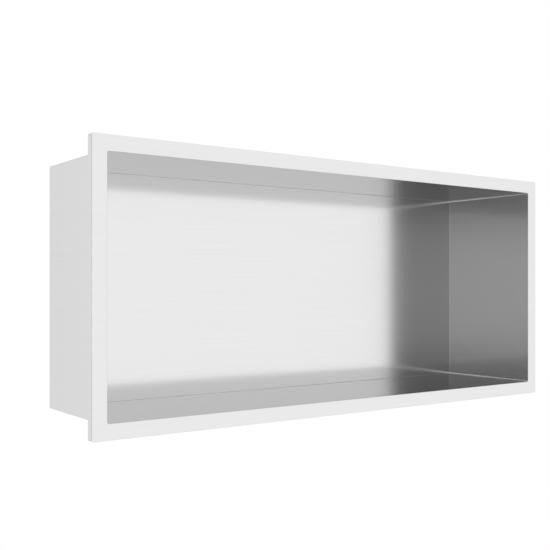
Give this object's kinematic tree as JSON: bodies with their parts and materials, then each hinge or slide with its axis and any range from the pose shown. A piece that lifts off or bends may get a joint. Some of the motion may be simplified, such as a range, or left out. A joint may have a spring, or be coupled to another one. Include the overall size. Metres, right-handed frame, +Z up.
{
  "type": "shower niche insert",
  "caption": "Rectangular shower niche insert: an open stainless tray that recesses into a wall, with a narrow front flange whose edge is turned back to seat on the tiles.",
  "frame": {"origin": "middle of the opening, in the plane of the finished wall, where the turned-back edge of the rim seats", "axes": "+X along the width, +Y into the wall, +Z up; the mouth faces -Y"},
  "size_m": [0.45, 0.1, 0.2],
  "materials": {
    "stainless_sheet": "fine satin brushed"
  },
  "bodies": {
    "root": {"niche_insert": "stainless_sheet"}
  },
  "joints": []
}
